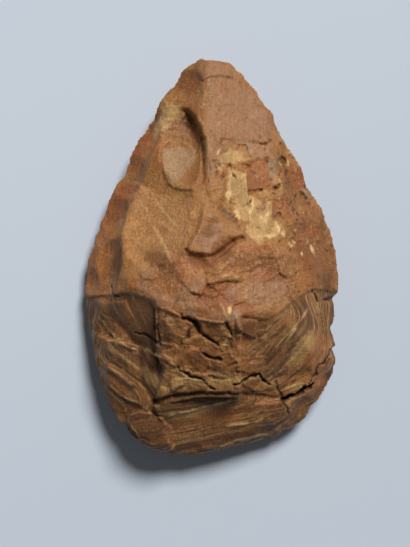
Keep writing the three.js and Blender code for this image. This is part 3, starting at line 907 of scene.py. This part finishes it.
def shade_wear_and_tone_masks(plan, at, hollow):
    """Painted shade in cracks and dips, edges lighter from wear and a painted highlight, and the tone of
    single fracture faces. hollow is + in dips and - on edges.
    """
    upper, rough = at["upper"], at["rough"]
    plain_face = smooth(1, -0.5, at["below"]) * (1 - rough)
    # Painted shade: near black in cracks and pits, and in dips except on the plain face.
    in_cracks = at["dark"] * upper * (0.55 + 0.45 * smooth(-1, 1, at["below"]))
    in_dips = 0.8 * (1 - 0.95 * plain_face) * smooth(0.05, 0.2, hollow)
    tones = np.maximum(rough, at["shelf"]) * face_tones(plan, ROUGH_FACES, 550)
    tones += 0.35 * at["hump"] * (1 - rough) * face_tones(plan, HUMP_FACES, 552)
    return {
        "painted_crevice_shade": np.maximum(in_cracks, in_dips),
        "facet": 0.5 + 0.5 * tones,
        # Lighter on edges, partly from wear and partly a painted highlight.
        "wear_and_painted_highlight": smooth(0.02, 0.12, -hollow),
        "dip": smooth(0.004, 0.05, hollow) * upper,
    }


def face_tones(plan, faces, seed):
    """A random tone from -1 to 1 for each of the fracture faces."""
    cell, _ = nearest_cells(plan.warped, *faces)
    return cell_values(cell, seed)[:, 0]


# ---- materials

class Nodes:
    """Adds linked shader nodes in few words."""

    def __init__(self, name):
        self.material = bpy.data.materials.new(name)
        self.material.use_nodes = True
        self.tree = self.material.node_tree
        self.shader = self.tree.nodes["Principled BSDF"]

    def add(self, kind, inputs=None, **settings):
        node = self.tree.nodes.new(kind)
        for key, value in settings.items():
            setattr(node, key, value)
        for key, value in (inputs or {}).items():
            self.feed(node.inputs[key], value)
        return node

    def feed(self, socket, value):
        if isinstance(value, bpy.types.NodeSocket):
            self.tree.links.new(value, socket)
        else:
            socket.default_value = value

    def math(self, operation, *values):
        return self.add("ShaderNodeMath", dict(enumerate(values)), operation=operation).outputs[0]

    def times(self, a, b):
        return self.math("MULTIPLY", a, b)

    def plus(self, a, b):
        return self.math("ADD", a, b)

    def mask(self, name):
        return self.add("ShaderNodeAttribute", attribute_name=name).outputs["Fac"]

    def ramp(self, value, low, high):
        node = self.add("ShaderNodeMapRange", {"Value": value, "From Min": low, "From Max": high})
        node.interpolation_type = "SMOOTHSTEP"
        return node.outputs["Result"]

    def mix(self, share, a, b, blend="MIX"):
        node = self.add("ShaderNodeMix", data_type="RGBA", blend_type=blend)
        for key, value in ((0, share), (6, a), (7, b)):
            if isinstance(value, tuple):
                value = (*value, 1)
            self.feed(node.inputs[key], value)
        return node.outputs[2]

    def tint(self, colour, share, strength, tint):
        """Lays a tint over the colour where share is up."""
        return self.mix(self.times(share, strength), colour, tint)

    def tone(self, colour, share, tones):
        """Multiplies the colour by a tone between the darkest and the lightest."""
        return self.mix(1.0, colour, self.mix(share, *tones), "MULTIPLY")

    def noise(self, place, size, detail=4.0, **settings):
        inputs = {"Vector": place, "Scale": 1 / (size * MM), "Detail": detail}
        return self.add("ShaderNodeTexNoise", inputs, **settings).outputs["Fac"]

    def threads(self, place, size):
        """Thin wandering lines, strong in some parts and absent in others."""
        away = self.math("ABSOLUTE", self.math("SUBTRACT", self.noise(place, size, 6), 0.5))
        present = self.ramp(self.noise(place, 1.7 * size, 2), 0.5, 0.62)
        return self.times(self.ramp(away, 0.006, 0.0), present)


# Colours of the stone, linear; some are also laid as painted shade, highlights or glints.
TAN = (0.385, 0.175, 0.062)
DEEP_TAN = (0.33, 0.130, 0.041)
OCHRE = (0.375, 0.185, 0.052)
LIGHT_TAN = (0.56, 0.275, 0.108)
WARM = (0.43, 0.165, 0.055)
PINK = (0.345, 0.178, 0.093)
PALE = (0.53, 0.325, 0.135)
CREAM = (0.74, 0.50, 0.22)
RUST = (0.30, 0.105, 0.036)
GREY = (0.30, 0.20, 0.125)
PATCH = (0.39, 0.235, 0.125)
DEEP = (0.215, 0.086, 0.030)
# Light specks of the grain, which on the hump also stand for painted glints.
SPECKS_AND_PAINTED_GLINTS = (0.52, 0.26, 0.14)
BUTT_BROWN = (0.325, 0.140, 0.050)
BUTT_GREY = (0.235, 0.115, 0.048)
LAYER_PALE = (0.52, 0.315, 0.118)
LAYER_DARK = (0.085, 0.042, 0.022)
# Dark brown of the stone, also laid as painted shade under the ledge, in grooves and on the deep scar's
# wall.
DARK_STONE_AND_SHADE = (0.125, 0.052, 0.022)
# Near black, laid only as painted shade in cracks, pits and dips.
PAINTED_CREVICE_SHADE = (0.028, 0.016, 0.010)

# The floor's painted light falloff, from its dimmer to its brighter end.
FLOOR_PAINTED_DIM = (0.565, 0.63, 0.72)
FLOOR_PAINTED_BRIGHT = (0.635, 0.70, 0.80)

# The material's own noises: sizes in millimetres.
CLOUDS = 11
MOTTLES = 3.2
GRAINS = 0.8
COMB = 0.9
COMB_TURN = math.radians(-38)  # turns the fine striations of the face
COMB_STRETCH = (1, 0.14, 1)
BUMP = 0.16
STONE_SPECULAR = 0.22
FLOOR_ROUGHNESS = 0.9
FLOOR_SPECULAR = 0.1

# Tones that multiply the colour: the darkest and the lightest.
FACET_TONES = ((0.82, 0.80, 0.78), (1.16, 1.16, 1.16))
GRAIN_TONES = ((0.86, 0.84, 0.82), (1.1, 1.1, 1.1))
COMB_TONES = ((0.88, 0.87, 0.85), (1.11, 1.12, 1.13))

# Patches in the order they are laid: (mask, where the blend starts and ends, strength, colour).
LOWER_PATCHES = [
    ("broad", 0.35, 1.1, 0.9, LIGHT_TAN), ("pink", 0.2, 0.9, 0.85, PINK),
    ("warm", 0.2, 0.8, 0.75, WARM), ("deep", 0.25, 0.85, 0.8, DEEP),
]
UPPER_PATCHES = [
    ("grey", 0.3, 0.8, 0.75, GREY), ("pale", 0.3, 0.75, 0.85, PALE), ("rust", 0.3, 0.8, 0.8, RUST),
]

# The same on the butt, with how much the mottles fray each patch after its mask.
BUTT_PATCHES = [
    ("rust", 0.3, 0.4, 1, 0.6, DEEP_TAN), ("pale", 0.4, 0.45, 1.1, 0.6, LAYER_PALE),
    ("cream", 0.5, 0.5, 1.1, 0.8, PALE),
]

# Bands across the layers: (thickness, where the noise starts and ends the blend, strength).
PALE_BANDS = [(1.9, 0.54, 0.66, 0.5), (0.6, 0.53, 0.62, 0.55), (0.3, 0.55, 0.63, 0.55)]
DARK_BANDS = [(1, 0.48, 0.38, 0.75), (0.36, 0.47, 0.39, 0.75)]

# Threads over the face: (size, strength, colour).
THREADS = [(9, 0.4, CREAM), (5, 0.45, DARK_STONE_AND_SHADE)]


def face_colour(n, place, clouds, mottles, grains):
    """The upper face: mottled tan with patches that have ragged edges."""
    def patchy(mask, low, high):
        return n.ramp(n.plus(n.mask(mask), n.times(n.plus(mottles, -0.5), 0.45)), low, high)

    colour = n.mix(clouds, DEEP_TAN, TAN)
    colour = n.tint(colour, n.ramp(mottles, 0.45, 0.75), 0.7, OCHRE)
    for mask, low, high, strength, tint in LOWER_PATCHES:
        colour = n.tint(colour, patchy(mask, low, high), strength, tint)
    colour = n.tint(colour, n.mask("dip"), 0.65, DEEP)
    # Light specks on the hump: partly grains, partly painted glints.
    colour = n.tint(colour, n.mask("hump"), n.times(n.ramp(grains, 0.6, 1.0), 0.5), SPECKS_AND_PAINTED_GLINTS)
    for mask, low, high, strength, tint in UPPER_PATCHES:
        colour = n.tint(colour, patchy(mask, low, high), strength, tint)
    colour = n.mix(n.mask("patch"), colour, PATCH)
    layer = n.add("ShaderNodeCombineXYZ", {"X": n.mask("layer")}).outputs[0]
    colour = n.tint(colour, n.ramp(n.noise(layer, 0.35, 4), 0.5, 0.7), 0.22, PALE)
    colour = n.tint(colour, n.ramp(n.noise(layer, 0.6, 4), 0.48, 0.3), 0.3, RUST)
    for size, strength, tint in THREADS:
        colour = n.tint(colour, n.threads(place, size), strength, tint)
    return n.mix(patchy("cream", 0.3, 0.8), colour, CREAM)


def butt_colour(n, place, mottles):
    """The broken butt: brown and grey layers, with thin pale and dark ones between them."""
    drift = n.times(n.noise(place, 7, 3), 1.2 * MM)
    layer = n.add("ShaderNodeCombineXYZ", {"X": n.mask("layer"), "Y": drift}).outputs[0]
    broken = n.times(n.mask("layered"), n.ramp(n.noise(place, 8, 4), 0.25, 0.5))
    colour = n.mix(n.ramp(n.noise(layer, 4.5, 3), 0.35, 0.65), BUTT_GREY, BUTT_BROWN)
    colour = n.tint(colour, n.ramp(mottles, 0.4, 0.9), 0.3, RUST)
    for size, low, high, strength in PALE_BANDS:
        bands = n.ramp(n.noise(layer, size, 3), low, high)
        colour = n.tint(colour, bands, n.times(broken, strength), LAYER_PALE)
    for size, low, high, strength in DARK_BANDS:
        bands = n.ramp(n.noise(layer, size, 3, noise_dimensions="2D"), low, high)
        colour = n.tint(colour, bands, n.times(broken, strength), LAYER_DARK)
    for mask, fray, low, high, strength, tint in BUTT_PATCHES:
        frayed = n.plus(n.mask(mask), n.times(mottles, fray))
        colour = n.tint(colour, n.ramp(frayed, low, high), strength, tint)
    return colour


def stone_material():
    n = Nodes("banded_stone")
    place = n.add("ShaderNodeTexCoord").outputs["Object"]
    clouds = n.ramp(n.noise(place, CLOUDS, 5), 0.35, 0.65)
    mottles = n.ramp(n.noise(place, MOTTLES, 6), 0.3, 0.7)
    grains = n.ramp(n.noise(place, GRAINS, 4), 0.25, 0.75)
    combing = {"Vector": place, "Rotation": (0, 0, COMB_TURN), "Scale": COMB_STRETCH}
    turned = n.add("ShaderNodeMapping", combing)
    comb = n.ramp(n.noise(turned.outputs[0], COMB, 4), 0.25, 0.75)
    face = face_colour(n, place, clouds, mottles, grains)
    colour = n.mix(n.mask("butt"), face, butt_colour(n, place, mottles))
    colour = n.tone(colour, n.mask("facet"), FACET_TONES)
    # Dark brown, partly the stone's own and partly painted shade under the ledge, in grooves and on the
    # deep scar's wall.
    colour = n.tint(colour, n.mask("dark_stone_and_painted_shade"), 0.62, DARK_STONE_AND_SHADE)
    # Edges lighter: partly wear, partly a painted highlight.
    colour = n.tint(colour, n.mask("wear_and_painted_highlight"), 0.28, PALE)
    colour = n.tint(colour, n.mask("vein"), 0.5, CREAM)
    colour = n.tone(colour, grains, GRAIN_TONES)
    colour = n.tone(colour, comb, COMB_TONES)
    # Painted shade, near black, in cracks, pits and dips.
    colour = n.tint(colour, n.mask("painted_crevice_shade"), 0.9, PAINTED_CREVICE_SHADE)
    n.feed(n.shader.inputs["Base Color"], colour)
    n.feed(n.shader.inputs["Roughness"], n.ramp(mottles, -1.2, 2.2))
    height = n.plus(n.plus(mottles, grains), comb)
    bump = n.add("ShaderNodeBump", {"Height": height, "Strength": 0.55, "Distance": BUMP * MM})
    n.feed(n.shader.inputs["Normal"], bump.outputs[0])
    n.shader.inputs["Specular IOR Level"].default_value = STONE_SPECULAR
    return n.material


def floor_material():
    """A plain pale floor with a painted light falloff: it grows a little brighter towards +Y and -X."""
    n = Nodes("pale_floor")
    place = n.add("ShaderNodeTexCoord").outputs["Object"]
    axes = n.add("ShaderNodeSeparateXYZ", {"Vector": place}).outputs
    painted_falloff = n.ramp(n.plus(n.times(axes["X"], -0.3), axes["Y"]), -0.12, 0.12)
    n.feed(n.shader.inputs["Base Color"], n.mix(painted_falloff, FLOOR_PAINTED_DIM, FLOOR_PAINTED_BRIGHT))
    n.shader.inputs["Roughness"].default_value = FLOOR_ROUGHNESS
    n.shader.inputs["Specular IOR Level"].default_value = FLOOR_SPECULAR
    return n.material


# ---- pieces, stage, light, camera

FLOOR_HALF = 1.6  # metres
SKY_COLOUR = (0.92, 0.96, 1.0, 1)
SKY_STRENGTH = 0.10
SUN_COLOUR = (1.0, 0.985, 0.96)
SUN_ENERGY = 3.35
SUN_WIDTH = math.radians(20)  # wide enough for the photo's soft shadow edge
SUN_FROM = (0.30, 0.60, 0.74)


def stone():
    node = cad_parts["hand_axe"]
    mesh = remeshed(node)
    settle_on(mesh, node)
    sculpt(mesh)
    mesh.materials.clear()
    mesh.materials.append(stone_material())
    mesh.shade_smooth()
    piece = link(bpy.data.objects.new("stone", mesh))
    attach(piece, "root")
    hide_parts("hand_axe")


def floor():
    mesh = bpy.data.meshes.new("floor")
    corners = [(x * FLOOR_HALF, y * FLOOR_HALF, 0) for x, y in ((-1, -1), (1, -1), (1, 1), (-1, 1))]
    mesh.from_pydata(corners, [], [(0, 1, 2, 3)])
    mesh.materials.append(floor_material())
    link(bpy.data.objects.new("floor", mesh))


def lights():
    world = bpy.data.worlds.new("sky")
    bpy.context.scene.world = world
    world.use_nodes = True
    background = world.node_tree.nodes["Background"]
    background.inputs["Color"].default_value = SKY_COLOUR
    background.inputs["Strength"].default_value = SKY_STRENGTH
    key = bpy.data.lights.new("window", "SUN")
    key.energy = SUN_ENERGY
    key.angle = SUN_WIDTH
    key.color = SUN_COLOUR
    lamp = link(bpy.data.objects.new("window", key))
    lamp.rotation_euler = Vector(SUN_FROM).to_track_quat("Z", "Y").to_euler()


def camera():
    data = bpy.data.cameras.new("camera")
    data.lens = data.sensor_width / 2 / math.tan(math.radians(HALF_ANGLE))
    obj = link(bpy.data.objects.new("camera", data))
    obj.location = Vector(EYE) * MM
    bpy.context.scene.camera = obj


stone()
floor()
lights()
camera()
bpy.context.scene.view_settings.view_transform = "Standard"
